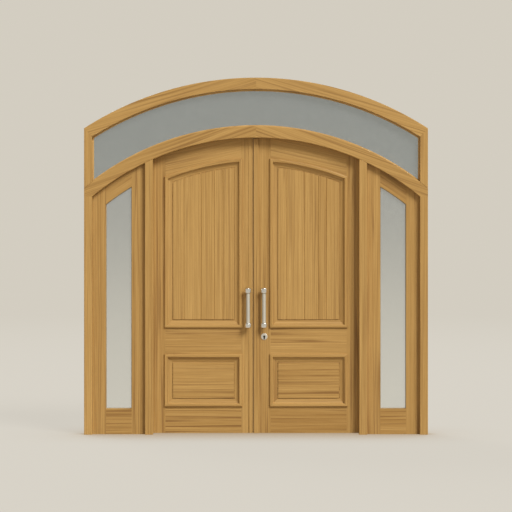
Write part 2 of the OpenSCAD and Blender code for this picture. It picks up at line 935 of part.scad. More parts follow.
module lock_rosettes() {
  radius = rosette_d / 2;
  color(steel) both_faces() difference() {
    translate([lock_x, leaf_front, lock_z]) rotate([90, 0, 0]) rotate_extrude()
      polygon(concat(
        [[0, 0], [radius, 0]],
        arc_points(radius - rosette_round, rosette_t - rosette_round, rosette_round, 0, 90),
        [[0, rosette_t]]
      ));
    face(leaf_front - rosette_t - cut, leaf_front + cut) key_profile(joint_gap);
  }
}

// Flush bolt in the edge of the left leaf

module flush_slot(grow) {
  block(left_edge - cut, flush_x, -flush_slide_t / 2 - grow, flush_slide_t / 2 + grow,
    flush_mid - flush_slide_h / 2 - grow, flush_mid + flush_slide_h / 2 + flush_throw + grow);
}

module flush_bolt_space() {
  edge_plate_recess(left_edge, flush_mid - flush_plate_h / 2, flush_mid + flush_plate_h / 2);
  flush_slot(cut);
  translate([flush_x, 0, flush_foot])
    cylinder(r = flush_r + pin_play, h = flush_top - flush_foot + keep_depth);
}

module flush_bolt_plate() {
  color(steel) sided(left) difference() {
    block(left_edge, left_edge + plate_t, -plate_w / 2, plate_w / 2,
      flush_mid - flush_plate_h / 2, flush_mid + flush_plate_h / 2);
    flush_slot(bolt_play);
  }
}

module flush_bolt() {
  color(steel) sided(left) union() {
    translate([flush_x, 0, flush_foot]) cylinder(r = flush_r, h = flush_top - flush_foot);
    block(left_edge, flush_x, -flush_slide_t / 2, flush_slide_t / 2,
      flush_mid - flush_slide_h / 2, flush_mid + flush_slide_h / 2);
  }
}

jamb(left);  // left_jamb
jamb(right);  // right_jamb
mullion(left);  // left_mullion
mullion(right);  // right_mullion
head_arch(left);  // left_head_arch
head_arch(right);  // right_head_arch
transom_post(left);  // left_transom_post
transom_post(right);  // right_transom_post
crown_arch(left);  // left_crown_arch
crown_arch(right);  // right_crown_arch
transom_glass();
transom_beads();
sidelight_stiles(left);  // left_sidelight_stiles
sidelight_rails(left);  // left_sidelight_rails
sidelight_glass(left);  // left_sidelight_glass
sidelight_beads(left);  // left_sidelight_beads
sidelight_stiles(right);  // right_sidelight_stiles
sidelight_rails(right);  // right_sidelight_rails
sidelight_glass(right);  // right_sidelight_glass
sidelight_beads(right);  // right_sidelight_beads
frame_hinge_plates();
hinge_pins();
hinge_stile(left);  // left_hinge_stile
left_meeting_stile();
top_rail(left);  // left_top_rail
cross_rail(left, low_z1, up_z0);  // left_mid_rail
cross_rail(left, floor_gap, low_z0);  // left_bottom_rail
upper_panel(left, left_boards);  // left_upper_panel
lower_panel(left);  // left_lower_panel
outer_mouldings(left);  // left_outer_mouldings
inner_mouldings(left);  // left_inner_mouldings
leaf_hinge_plates(left);  // left_hinge_plates
pull_bars(left);  // left_pull_bars
pull_posts(left);  // left_pull_posts
strike_plate();
flush_bolt_plate();
flush_bolt();
hinge_stile(right);  // right_hinge_stile
right_meeting_stile();
top_rail(right);  // right_top_rail
cross_rail(right, low_z1, up_z0);  // right_mid_rail
cross_rail(right, floor_gap, low_z0);  // right_bottom_rail
upper_panel(right, right_boards);  // right_upper_panel
lower_panel(right);  // right_lower_panel
outer_mouldings(right);  // right_outer_mouldings
inner_mouldings(right);  // right_inner_mouldings
leaf_hinge_plates(right);  // right_hinge_plates
pull_bars(right);  // right_pull_bars
pull_posts(right);  // right_pull_posts
astragal();
lock_case();
lock_forend();
lock_bolt();
key_cylinder();
key_plug();
lock_rosettes();
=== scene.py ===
"""Arched double entrance door of varnished wood, dressed for a plain studio.

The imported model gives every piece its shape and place. This script gives each
piece its finish, adds the small screws, the glazing seals and the meeting
seals, and sets up the floor, the light and the camera. Lengths are in metres.
"""

import logging
import math
from dataclasses import dataclass
from enum import Enum
from typing import Iterable, Sequence, Union

import bpy
from mathutils import Matrix, Vector
from mathutils.geometry import tessellate_polygon


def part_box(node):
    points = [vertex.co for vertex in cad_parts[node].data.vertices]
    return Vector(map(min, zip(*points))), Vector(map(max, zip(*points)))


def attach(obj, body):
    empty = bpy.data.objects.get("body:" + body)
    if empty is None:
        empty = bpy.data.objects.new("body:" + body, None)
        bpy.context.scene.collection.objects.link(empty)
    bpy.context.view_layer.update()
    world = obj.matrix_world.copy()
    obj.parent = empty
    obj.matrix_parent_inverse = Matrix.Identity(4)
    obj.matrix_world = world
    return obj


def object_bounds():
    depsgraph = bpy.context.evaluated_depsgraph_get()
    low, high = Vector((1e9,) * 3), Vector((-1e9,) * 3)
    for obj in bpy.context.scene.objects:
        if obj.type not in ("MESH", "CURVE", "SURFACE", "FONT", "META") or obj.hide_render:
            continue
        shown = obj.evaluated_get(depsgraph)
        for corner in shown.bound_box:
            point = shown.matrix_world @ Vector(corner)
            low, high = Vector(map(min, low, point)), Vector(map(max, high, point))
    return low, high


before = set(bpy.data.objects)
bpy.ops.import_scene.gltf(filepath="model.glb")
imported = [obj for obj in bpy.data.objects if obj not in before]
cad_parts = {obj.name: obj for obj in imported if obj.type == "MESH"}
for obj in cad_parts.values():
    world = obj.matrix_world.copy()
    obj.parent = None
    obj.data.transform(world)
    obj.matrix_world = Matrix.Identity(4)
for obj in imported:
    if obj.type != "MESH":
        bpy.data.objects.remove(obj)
CAD_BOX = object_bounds()

LOG = logging.getLogger("arched_door")

Colour = tuple[float, float, float]
Triple = tuple[float, float, float]
Window = tuple[float, float]
Pair = tuple["Wire", "Wire"]
Value = Union["Wire", float]
Tint = Union["Wire", Colour]
Settings = dict[str, object]
Inputs = dict[Union[str, int], object]
Faces = list[tuple[int, ...]]

# Sizes of the doorway that no packed box gives: all its arches share one centre
ARCH_CENTRE_Z = 0.308
MOULDING_W = 0.052
GLASS_REBATE = 0.007
BEAD_W = 0.010
SASH_MIDDLE_Z = 1.0
LEFT_BOARD_JOINTS = (0.259, 0.325, 0.430, 0.562)
RIGHT_BOARD_JOINTS = (0.239, 0.378, 0.485, 0.549)

# Edges of the panel openings in a leaf, as distances from the middle
OPENING_X = (-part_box("left_meeting_stile")[0].x, -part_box("left_hinge_stile")[1].x)
OPENING_LOW_Z = (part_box("left_bottom_rail")[1].z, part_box("left_mid_rail")[0].z)
OPENING_UP_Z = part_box("left_mid_rail")[1].z
OPENING_UP_R = math.hypot(OPENING_X[1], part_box("left_top_rail")[0].z - ARCH_CENTRE_Z)

# Top of the leaves, and edges of the clear glass
LEAF_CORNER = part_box("left_meeting_stile")[1]
LEAF_R = math.hypot(LEAF_CORNER.x, LEAF_CORNER.z - ARCH_CENTRE_Z)
PANE_LOW, PANE_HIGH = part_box("right_sidelight_glass")
PANE_X = (PANE_LOW.x + GLASS_REBATE, PANE_HIGH.x - GLASS_REBATE)
PANE_Z = PANE_LOW.z + GLASS_REBATE
PANE_R = math.hypot(PANE_LOW.x, PANE_HIGH.z - ARCH_CENTRE_Z) - GLASS_REBATE
TRANSOM_BEAD_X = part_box("right_transom_post")[0].x - BEAD_W


class Side(Enum):
    """A side of the doorway as seen from outside, with its sign along X."""

    LEFT = -1.0
    RIGHT = 1.0

    @property
    def word(self) -> str:
        """The word that begins the names of this side's pieces."""
        return self.name.lower()


class Run(Enum):
    """The way that the grain runs in a piece."""

    UPRIGHT = "upright"
    LEVEL = "level"
    CHORD = "chord"
    SASH_RAILS = "sash rails"
    SASH_BEADS = "sash beads"
    TRANSOM_BEADS = "transom beads"
    MOULDINGS = "mouldings"


class Blend(Enum):
    """The ways in which two colours are mixed here."""

    PLAIN = "MIX"
    PRODUCT = "MULTIPLY"


class Wire:
    """One socket of a shader, on which plain arithmetic adds Math nodes."""

    def __init__(self, graph: "Graph", socket: bpy.types.NodeSocket) -> None:
        """Keeps the socket and the graph that it belongs to."""
        self.graph = graph
        self.socket = socket

    def __add__(self, other: Value) -> "Wire":
        """Sum."""
        return self.graph.math("ADD", self, other)

    __radd__ = __add__

    def __sub__(self, other: Value) -> "Wire":
        """Difference."""
        return self.graph.math("SUBTRACT", self, other)

    def __rsub__(self, other: Value) -> "Wire":
        """Difference from a number."""
        return self.graph.math("SUBTRACT", other, self)

    def __mul__(self, other: Value) -> "Wire":
        """Product."""
        return self.graph.math("MULTIPLY", self, other)

    __rmul__ = __mul__

    def __abs__(self) -> "Wire":
        """Size without sign."""
        return self.graph.math("ABSOLUTE", self)

    def above(self, limit: Value) -> "Wire":
        """1 where the value is over the limit, and 0 elsewhere."""
        return self.graph.math("GREATER_THAN", self, limit)

    def larger(self, other: Value) -> "Wire":
        """The larger of two values."""
        return self.graph.math("MAXIMUM", self, other)

    def smooth(self, low: float, high: float) -> "Wire":
        """Rises smoothly from 0 to 1.

        Args:
            low: Value at which the rise begins.
            high: Value at which it ends.

        Returns:
            The risen value.
        """
        settings = {"interpolation_type": "SMOOTHSTEP"}
        inputs = {"Value": self, "From Min": low, "From Max": high}
        return self.graph.wire(self.graph.node("ShaderNodeMapRange", settings, inputs), "Result")

    def choose(self, yes: Value, no: Value) -> "Wire":
        """Takes yes where this mask is 1, and no where it is 0."""
        return self * (yes - no) + no

    def choose_pair(self, yes: Pair, no: Pair) -> Pair:
        """Takes both values of yes where this mask is 1, and of no where it is 0."""
        return self.choose(yes[0], no[0]), self.choose(yes[1], no[1])


class Graph:
    """The node tree of one material or world, filled from Python."""

    mix_share, mix_low, mix_high = 0, 6, 7
    mix_result = 2
    bevel_samples = 6
    arris_window: Window = (0.02, 0.25)

    def __init__(self, tree: bpy.types.NodeTree) -> None:
        """Empties the tree and keeps it."""
        tree.nodes.clear()
        self.tree = tree

    def node(self, kind: str, settings: Settings | None = None,
             inputs: Inputs | None = None) -> bpy.types.Node:
        """Adds one node.

        Args:
            kind: Blender's name of the node's type.
            settings: Properties of the node, set first.
            inputs: Values or wires for its sockets, by socket name or number.

        Returns:
            The new node.
        """
        made = self.tree.nodes.new(kind)
        for name, value in (settings or {}).items():
            setattr(made, name, value)
        for name, value in (inputs or {}).items():
            socket = made.inputs[name]
            if isinstance(value, Wire):
                self.tree.links.new(value.socket, socket)
            else:
                socket.default_value = value
        return made

    def wire(self, made: bpy.types.Node, output: str | int = 0) -> Wire:
        """The named output of a node."""
        return Wire(self, made.outputs[output])

    def math(self, operation: str, *values: Value) -> Wire:
        """A Math node on one to three values."""
        return self.wire(self.node("ShaderNodeMath", {"operation": operation}, dict(enumerate(values))))

    def length(self, x: Wire, y: Wire) -> Wire:
        """The length of a flat step."""
        return self.math("SQRT", x * x + y * y)

    def place(self) -> tuple[Wire, Wire, Wire]:
        """The point on the piece.

        Returns:
            The point in the piece's own frame, as three values.
        """
        point = self.wire(self.node("ShaderNodeTexCoord"), "Object")
        split = self.node("ShaderNodeSeparateXYZ", inputs={0: point})
        return self.wire(split, "X"), self.wire(split, "Y"), self.wire(split, "Z")

    def vector(self, x: Value, y: Value, z: Value) -> Wire:
        """Joins three values to a vector."""
        return self.wire(self.node("ShaderNodeCombineXYZ", inputs={0: x, 1: y, 2: z}))

    def noise(self, point: Wire, detail: float, roughness: float = 0.5, distortion: float = 0.0) -> Wire:
        """Soft noise.

        Args:
            point: The place, already scaled.
            detail: Number of finer layers.
            roughness: Share of each finer layer.
            distortion: How far the noise is drawn about.

        Returns:
            The noise, about 0.5 in the mean.
        """
        inputs = {
            "Vector": point, "Scale": 1.0, "Detail": detail, "Roughness": roughness, "Distortion": distortion,
        }
        return self.wire(self.node("ShaderNodeTexNoise", {"noise_dimensions": "3D"}, inputs), "Fac")

    def cloud(self, fine: Triple, detail: float, roughness: float = 0.5) -> Wire:
        """Soft noise that is fixed to the piece, with its fineness along each axis."""
        point = self.vector(*(part * scale for part, scale in zip(self.place(), fine)))
        return self.noise(point, detail, roughness)

    def chance(self, value: Wire) -> Wire:
        """A steady random number from 0 to 1 for each whole number."""
        made = self.node("ShaderNodeTexWhiteNoise", {"noise_dimensions": "1D"}, {"W": value})
        return self.wire(made, "Value")

    def mix(self, share: Value, low: Tint, high: Tint, blend: Blend = Blend.PLAIN) -> Wire:
        """A mix of two colours.

        Args:
            share: 0 for the first colour, 1 for the second.
            low: First colour.
            high: Second colour.
            blend: The way of mixing.

        Returns:
            The mixed colour.
        """
        first, second = (tint if isinstance(tint, Wire) else (*tint, 1.0) for tint in (low, high))
        settings = {"data_type": "RGBA", "blend_type": blend.value, "clamp_factor": True}
        inputs = {self.mix_share: share, self.mix_low: first, self.mix_high: second}
        return self.wire(self.node("ShaderNodeMix", settings, inputs), self.mix_result)

    def grey(self, value: Wire) -> Wire:
        """The same value in all three channels of a colour."""
        return self.wire(self.node("ShaderNodeCombineColor", inputs={0: value, 1: value, 2: value}))

    def bump(self, height: Wire, strength: float, depth: float, normal: Wire | None = None) -> Wire:
        """A normal tilted by a height.

        Args:
            height: The height, from 0 to 1.
            strength: Share of the tilt that is used.
            depth: Real height of 1, in metres.
            normal: The normal to start from, or none for the surface's own.

        Returns:
            The tilted normal.
        """
        inputs = {"Strength": strength, "Distance": depth, "Height": height}
        if normal is not None:
            inputs["Normal"] = normal
        return self.wire(self.node("ShaderNodeBump", inputs=inputs))

    def soft_edge(self, radius: float) -> Wire:
        """The surface normal, rounded over at the arrises."""
        return self.wire(self.node("ShaderNodeBevel", {"samples": self.bevel_samples}, {"Radius": radius}))

    def edge_mask(self, soft: Wire) -> Wire:
        """Finds the arrises.

        Args:
            soft: The normal that is rounded over at the arrises.

        Returns:
            0 on flat faces, rising to 1 on a rounded arris.
        """
        flat = self.wire(self.node("ShaderNodeNewGeometry"), "Normal")
        dot = self.node("ShaderNodeVectorMath", {"operation": "DOT_PRODUCT"}, {0: soft, 1: flat})
        return (1.0 - self.wire(dot, "Value")).smooth(*self.arris_window)

    def surface(self, sockets: Inputs) -> Wire:
        """The main shader, with its sockets set."""
        return self.wire(self.node("ShaderNodeBsdfPrincipled", inputs=sockets))

    def finish(self, shader: Wire, kind: str = "ShaderNodeOutputMaterial") -> None:
        """Sends a shader to the output."""
        self.node(kind, inputs={"Surface": shader})


def new_material(name: str) -> tuple[bpy.types.Material, Graph]:
    """Makes an empty material.

    Args:
        name: Name of the material.

    Returns:
        The material and its graph.
    """
    material = bpy.data.materials.new(name)
    material.use_nodes = True
    return material, Graph(material.node_tree)


def scaled(tint: Colour, gain: float) -> Colour:
    """A colour made lighter or darker, no lighter than white."""
    return tuple(min(1.0, gain * part) for part in tint)


@dataclass(frozen=True)
class Course:
    """Where a point lies in the grain: across, into and along it, and the number of its stick."""

    across: Wire
    deep: Wire
    along: Wire
    stick: Wire


@dataclass(frozen=True)
class Border:
    """How far a point lies outside each edge of an opening that mitred sticks frame.

    The mask arched is 1 on a head that follows an arch. The sticks of one opening share the value group, and
    middle is the distance from the doorway's middle that parts its two uprights.
    """

    sides: Wire
    head: Wire
    foot: Wire
    arched: Wire
    group: Wire
    middle: float


@dataclass(frozen=True)
class Streaks:
    """Noise drawn out along the grain: how fine, how long, in how many layers, and how far it wanders."""

    fine: float
    stretch: float
    detail: float
    wander: float = 0.0


@dataclass(frozen=True)
class Grain:
    """The grain of one piece in its material's graph, shifted away from that of the others."""

    graph: Graph
    course: Course
    shift: Wire
    deep_share: float = 0.61
    roughness: float = 0.55
    sway: float = 0.016
    sway_fine: float = 3.0
    sway_along: float = 1.6
    line_along: float = 0.35

    def point(self, across: Wire, fine: float, along: float) -> Wire:
        """A scaled place in the grain.

        Args:
            across: Distance across the grain.
            fine: Scale across and into the grain.
            along: Scale along the grain.

        Returns:
            The place, for a noise.
        """
        deep = self.course.deep + self.shift * self.deep_share
        return self.graph.vector(across * fine, deep * fine, self.course.along * along + self.shift)

    def streaks(self, kind: Streaks) -> Wire:
        """Noise drawn out along the grain."""
        place = self.point(self.course.across + self.shift, kind.fine, kind.fine / kind.stretch)
        return self.graph.noise(place, kind.detail, self.roughness, kind.wander)

    def lines(self, fine: float, width: float) -> Wire:
        """Thin growth lines that run the whole length and sway a little.

        Args:
            fine: Lines to a metre, roughly.
            width: Share of the wood that they take up.

        Returns:
            1 in the middle of a line, falling to 0 beside it.
        """
        course, scale = self.course, self.sway_fine
        bend = self.graph.vector(
            course.across * scale + self.shift, course.deep * scale, course.along * self.sway_along)
        sway = (self.graph.noise(bend, 1.0) - 0.5) * self.sway
        value = self.graph.noise(self.point(course.across + self.shift + sway, fine, self.line_along), 1.0)
        return 1.0 - abs(value - 0.5).smooth(0.0, width)


@dataclass(frozen=True)
class Timber:
    """Varnished straight-grained wood."""

    light: Colour = (0.600, 0.369, 0.126)
    dark: Colour = (0.380, 0.207, 0.055)
    pore: Colour = (0.250, 0.120, 0.028)
    vein: Colour = (0.185, 0.080, 0.020)
    bands: Streaks = Streaks(24.0, 40.0, 3.0, 0.4)
    rings: Streaks = Streaks(120.0, 90.0, 2.0, 0.3)
    fibre: Streaks = Streaks(420.0, 60.0, 2.0)
    pores: Streaks = Streaks(900.0, 34.0, 1.0)
    patches: Streaks = Streaks(11.0, 9.0, 2.0)
    pore_window: Window = (0.62, 0.76)
    patch_window: Window = (0.30, 0.62)
    vein_lines: tuple[float, float] = (30.0, 0.055)
    hair_lines: tuple[float, float] = (88.0, 0.08)
    band_depth: float = 0.85
    ring_depth: float = 1.25
    fibre_depth: float = 0.80
    stick_depth: float = 0.20
    pore_depth: float = 0.34
    vein_depth: float = 0.74
    hair_depth: float = 0.18
    mean_tone: float = 0.46
    edge_wear: float = 0.30
    gloss: float = 0.40
    arris: float = 0.0016
    relief: float = 0.0006
    relief_share: float = 0.22
    coat: float = 0.06
    coat_gloss: float = 0.28
    sheen: float = 0.28
    luck_shift: float = 7.3
    seed_shift: float = 1.37
    board_step: float = 9.0

    def moulding_border(self, graph: Graph, wide: Wire, z: Wire) -> Border:
        """The border that the mouldings make round the two panels of a leaf.

        Args:
            graph: The material's graph.
            wide: Distance from the middle of the doorway.
            z: Height.

        Returns:
            The border, measured from the inner edges of the mouldings.
        """
        upper = z.above((OPENING_LOW_Z[1] + OPENING_UP_Z) / 2)
        low_x, high_x = OPENING_X[0] + MOULDING_W, OPENING_X[1] - MOULDING_W
        low_head = z - (OPENING_LOW_Z[1] - MOULDING_W)
        up_head = graph.length(wide, z - ARCH_CENTRE_Z) - (OPENING_UP_R - MOULDING_W)
        head = upper.choose(up_head, low_head)
        foot = upper.choose(OPENING_UP_Z + MOULDING_W - z, OPENING_LOW_Z[0] + MOULDING_W - z)
        sides = (low_x - wide).larger(wide - high_x)
        return Border(sides, head, foot, head.above(foot) * upper, upper, sum(OPENING_X) / 2)

    def bead_border(self, graph: Graph, wide: Wire, z: Wire, half: Wire) -> Border:
        """The border that the glazing beads make round the glass of a sidelight.

        Args:
            graph: The material's graph.
            wide: Distance from the middle of the doorway.
            z: Height.
            half: 1 on the right of the doorway, 0 on the left.

        Returns:
            The border, measured from the edges of the clear glass.
        """
        head = graph.length(wide, z - ARCH_CENTRE_Z) - PANE_R
        foot = PANE_Z - z
        sides = (PANE_X[0] - wide).larger(wide - PANE_X[1])
        return Border(sides, head, foot, head.above(foot), half, sum(PANE_X) / 2)

    def course(self, graph: Graph, run: Run, chord: float) -> Course:
        """Turns the place on a piece into its place in the grain.

        Args:
            graph: The material's graph.
            run: The way that the grain runs.
            chord: Fall of an arched piece's chord, in radians.

        Returns:
            The place in the grain.
        """
        x, y, z = graph.place()
        wide = abs(x)
        half = x.above(0.0)
        fall, rise = math.sin(chord), math.cos(chord)
        upright, level = (x, z), (z, x)
        arched = (wide * fall + z * rise, wide * rise - z * fall)
        plain = {Run.UPRIGHT: upright, Run.LEVEL: level, Run.CHORD: arched}
        if run in plain:
            across, along = plain[run]
            return Course(across, y, along, half)
        if run is Run.SASH_RAILS:
            top = z.above(SASH_MIDDLE_Z)
            across, along = top.choose_pair(arched, level)
            return Course(across, y, along, half + top * 2.0)
        if run is Run.TRANSOM_BEADS:
            end = wide.above(TRANSOM_BEAD_X)
            across, along = end.choose_pair(upright, arched)
            return Course(across, y, along, half + end * 2.0)
        beads = run is Run.SASH_BEADS
        border = self.bead_border(graph, wide, z, half) if beads else self.moulding_border(graph, wide, z)
        stands = border.sides.above(border.head.larger(border.foot))
        across, along = stands.choose_pair(upright, border.arched.choose_pair(arched, level))
        # Each stick of the border gets a number of its own
        stick = stands.choose(wide.above(border.middle) + 3.0, border.head.above(border.foot))
        return Course(across, y, along, stick + border.group * 7.0)

    def build(self, name: str, run: Run, seed: float, tone: float = 0.0, figure: float = 1.0,
              chord: float = 0.0, joints: Sequence[float] = ()) -> bpy.types.Material:
        """Makes the wood of one piece.

        Args:
            name: Name of the material.
            run: The way that the grain runs.
            seed: Shifts the grain, so that no two pieces are alike.
            tone: Makes the piece a little lighter or darker.
            figure: Strength of the dark growth lines.
            chord: Fall of an arched piece's chord, in radians.
            joints: Distances from the middle at which one board ends and the next begins.

        Returns:
            The material.
        """
        material, graph = new_material(name)
        course = self.course(graph, run, chord)
        stick = course.stick
        if joints:
            wide = abs(graph.place()[0])
            stick = sum((wide.above(joint) for joint in joints), stick * self.board_step)
        luck = graph.chance(stick + seed)
        grain = Grain(graph, course, luck * self.luck_shift + seed * self.seed_shift)
        bands, rings, fibre = (grain.streaks(kind) for kind in (self.bands, self.rings, self.fibre))
        pores = grain.streaks(self.pores).smooth(*self.pore_window)
        veins = grain.lines(*self.vein_lines) * grain.streaks(self.patches).smooth(*self.patch_window)
        hairs = grain.lines(*self.hair_lines)
        soft = graph.soft_edge(self.arris)
        edge = graph.edge_mask(soft)
        shade = (bands - 0.5) * (self.band_depth * figure) + (rings - 0.5) * self.ring_depth
        shade = shade + (fibre - 0.5) * self.fibre_depth + (luck - 0.5) * self.stick_depth
        colour = graph.mix(shade + (self.mean_tone - tone), self.light, self.dark)
        colour = graph.mix(pores * self.pore_depth, colour, self.pore)
        colour = graph.mix(veins * (self.vein_depth * figure) + hairs * self.hair_depth, colour, self.vein)
        colour = graph.mix(edge * self.edge_wear, colour, self.light)
        height = fibre * 0.5 + rings * 0.3 - pores * 0.8 - veins * 0.6 - hairs * 0.3
        sockets = {
            "Base Color": colour,
            "Roughness": (fibre - 0.5) * 0.18 + pores * 0.16 + self.gloss - edge * 0.06,
            "Normal": graph.bump(height, self.relief_share, self.relief, soft),
            "Coat Weight": self.coat,
            "Coat Roughness": self.coat_gloss,
            "Specular IOR Level": self.sheen,
        }
        graph.finish(graph.surface(sockets))
        return material


@dataclass(frozen=True)
class Metal:
    """Bare or plated metal, brushed round or along a piece."""

    tint: Colour
    gloss: float
    brushed: float = 0.0
    grime: float = 0.12
    level: bool = False
    arris: float = 0.0006
    metallic: float = 1.0
    brush_fine: float = 1600.0
    brush_long: float = 40.0
    cloud_fine: float = 46.0
    cloud_window: Window = (0.45, 0.8)
    speck_fine: float = 520.0
    speck_window: Window = (0.64, 0.8)
    worn_gain: float = 1.12
    dull_gain: float = 0.55

    def build(self, name: str) -> bpy.types.Material:
        """Makes the metal.

        Args:
            name: Name of the material.

        Returns:
            The material.
        """
        material, graph = new_material(name)
        flat, high = (self.brush_fine, self.brush_long) if self.level else (self.brush_long, self.brush_fine)
        brush = graph.cloud((flat, flat, high), 2.0)
        cloud = graph.cloud((self.cloud_fine,) * 3, 4.0, 0.6)
        specks = graph.cloud((self.speck_fine,) * 3, 2.0).smooth(*self.speck_window)
        soft = graph.soft_edge(self.arris)
        edge = graph.edge_mask(soft)
        dirt = (cloud.smooth(*self.cloud_window) + specks) * self.grime
        colour = graph.mix(dirt, self.tint, scaled(self.tint, self.dull_gain))
        colour = graph.mix(edge * 0.5, colour, scaled(self.tint, self.worn_gain))
        sockets = {
            "Base Color": colour,
            "Metallic": self.metallic,
            "Roughness": (brush - 0.5) * self.brushed + (cloud - 0.5) * 0.10 + self.gloss + specks * 0.08,
            "Normal": graph.bump(brush * self.brushed + cloud * 0.1, 0.10, 0.0002, soft),
        }
        graph.finish(graph.surface(sockets))
        return material


@dataclass(frozen=True)
class Glazing:
    """Satin reflective glass, slightly green and uneven."""

    tint: Colour = (0.920, 0.925, 0.890)
    gloss: float = 0.18
    cover: float = 0.93
    metallic: float = 0.92
    drift_fine: Triple = (2.2, 2.2, 1.6)
    haze_fine: Triple = (31.0, 31.0, 24.0)
    haze_window: Window = (0.4, 0.8)
    pale_gain: float = 1.05

    def build(self, name: str) -> bpy.types.Material:
        """Makes the glass.

        Args:
            name: Name of the material.

        Returns:
            The material.
        """
        material, graph = new_material(name)
        drift = graph.cloud(self.drift_fine, 2.0)
        haze = graph.cloud(self.haze_fine, 4.0, 0.6)
        pale = scaled(self.tint, self.pale_gain)
        sockets = {
            "Base Color": graph.mix(haze.smooth(*self.haze_window) * 0.6, self.tint, pale),
            "Metallic": self.metallic,
            "Roughness": (haze - 0.5) * 0.05 + self.gloss,
            "Alpha": (haze - 0.5) * 0.06 + self.cover,
            "Normal": graph.bump(drift, 0.05, 0.002),
        }
        graph.finish(graph.surface(sockets))
        return material


@dataclass(frozen=True)
class Sealant:
    """Rubbery sealant with a little dust on it."""

    tint: Colour = (0.300, 0.240, 0.150)
    gloss: float = 0.55
    dust_fine: float = 260.0
    dust_window: Window = (0.5, 0.8)
    dust_gain: float = 1.5

    def build(self, name: str) -> bpy.types.Material:
        """Makes the sealant.

        Args:
            name: Name of the material.

        Returns:
            The material.
        """
        material, graph = new_material(name)
        dust = graph.cloud((self.dust_fine,) * 3, 3.0)
        pale = scaled(self.tint, self.dust_gain)
        sockets = {
            "Base Color": graph.mix(dust.smooth(*self.dust_window) * 0.6, self.tint, pale),
            "Roughness": (dust - 0.5) * 0.2 + self.gloss,
            "Normal": graph.bump(dust, 0.2, 0.0003),
        }
        graph.finish(graph.surface(sockets))
        return material


DOOR_WOOD = Timber()
# The beads are a paler copy of the door wood: painted light that lifts the shade which the crown arch casts
# on the transom beads
SHADE_LIFTED_BEAD_WOOD = Timber(light=(0.74, 0.48, 0.18), dark=(0.54, 0.32, 0.10))
SIDELIGHT_GLASS = Glazing()
# The transom glass is a darker copy of the sidelight glass: painted shade for its dimmer reflection
DIMMED_TRANSOM_GLASS = Glazing(tint=(0.79, 0.815, 0.79))
GLAZING_SEALANT = Sealant()
MEETING_RUBBER = Sealant(tint=(0.300, 0.185, 0.070))
GRIP_STEEL = Metal((0.59, 0.56, 0.475), gloss=0.55, brushed=0.22, metallic=0.40)
POST_STEEL = Metal((0.92, 0.89, 0.82), gloss=0.26, brushed=0.08)
ROSETTE_STEEL = Metal((0.90, 0.84, 0.72), gloss=0.42, brushed=0.10)
HINGE_STEEL = Metal((0.60, 0.58, 0.53), gloss=0.32, brushed=0.16, level=True)
LOCK_STEEL = Metal((0.62, 0.60, 0.55), gloss=0.30, brushed=0.18, level=True)
# Near-black metal: a dark finish on the lock case, and on the key cylinder and plug also painted shade that
# makes the whole keyhole read as a dark hole
LOCK_IRON_AND_KEYHOLE_SHADE = Metal((0.045, 0.043, 0.040), gloss=0.46, grime=0.3)
LOCK_BRASS = Metal((0.62, 0.47, 0.18), gloss=0.28, brushed=0.12, level=True)


def dress(node: str, material: bpy.types.Material) -> None:
    """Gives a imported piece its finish.

    Args:
        node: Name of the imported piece.
        material: Its finish.
    """
    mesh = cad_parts[node].data
    mesh.materials.clear()
    mesh.materials.append(material)
    LOG.info("dressed %s with %s", node, material.name)


def add_piece(name: str, corners: Sequence[Vector], faces: Iterable[Sequence[int]],
              material: bpy.types.Material, body: str) -> None:
    """Makes a new piece and lets it ride on a body.

    Args:
        name: Name of the piece.
        corners: Its corner points.
        faces: Its faces, as numbers of corners.
        material: Its finish.
        body: The body that carries it.
    """
    mesh = bpy.data.meshes.new(name)
    mesh.from_pydata([tuple(corner) for corner in corners], [], [tuple(face) for face in faces])
    mesh.validate()
    mesh.materials.append(material)
    piece = bpy.data.objects.new(name, mesh)
    bpy.context.scene.collection.objects.link(piece)
    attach(piece, body)
    LOG.info("built %s on %s", name, body)


@dataclass
class Screw:
    """Countersunk screw head with a cross recess, let in flush."""

    head_r: float = 0.0042
    dish: float = 0.0003
    rim: float = 0.0005
    sink: float = 0.0009
    cross_w: float = 0.0011
    cross_l: float = 0.0048
    cross_depth: float = 0.0010
    sides: int = 28

    def outline(self) -> list[tuple[float, float]]:
        """Draws the cross.

        Returns:
            Its corners, anticlockwise from the right arm.
        """
        w, length = self.cross_w / 2, self.cross_l / 2
        arm = [(length, -w), (length, w), (w, w)]
        turns = ((1, 0), (0, 1), (-1, 0), (0, -1))
        return [(c * x - s * y, s * x + c * y) for c, s in turns for x, y in arm]

    def build(self, place: Matrix) -> tuple[list[Vector], Faces]:
        """Makes one head.

        Args:
            place: Where the head sits, with its outside along its own Z.

        Returns:
            Corners and faces of the head.
        """
        angles = [2 * math.pi * i / self.sides for i in range(self.sides)]
        rings = [(self.head_r, -self.sink), (self.head_r, 0.0), (self.head_r - self.rim, self.dish)]
        corners = [Vector((r * math.cos(a), r * math.sin(a), h)) for r, h in rings for a in angles]
        faces: Faces = []
        for ring in range(len(rings) - 1):
            for i in range(self.sides):
                a, b = ring * self.sides + i, ring * self.sides + (i + 1) % self.sides
                faces.append((a, b, b + self.sides, a + self.sides))
        cross = self.outline()
        top = len(corners)
        corners += [Vector((x, y, self.dish)) for x, y in cross]
        floor = len(corners)
        corners += [Vector((x, y, self.dish - self.cross_depth)) for x, y in cross]
        rim = list(range(top - self.sides, top))
        lip = list(range(top, floor))
        loops = [[corners[i] for i in rim], [corners[i] for i in lip]]
        numbers = rim + lip
        for face in tessellate_polygon(loops):
            ids = [numbers[i] for i in face]
            flat = (corners[ids[1]] - corners[ids[0]]).cross(corners[ids[2]] - corners[ids[0]])
            faces.append(tuple(ids if flat.z > 0 else reversed(ids)))
        count = len(cross)
        for i in range(count):
            j = (i + 1) % count
            faces.append((top + i, top + j, floor + j, floor + i))
        faces.append(tuple(range(floor, floor + count)))
        return [place @ corner for corner in corners], faces


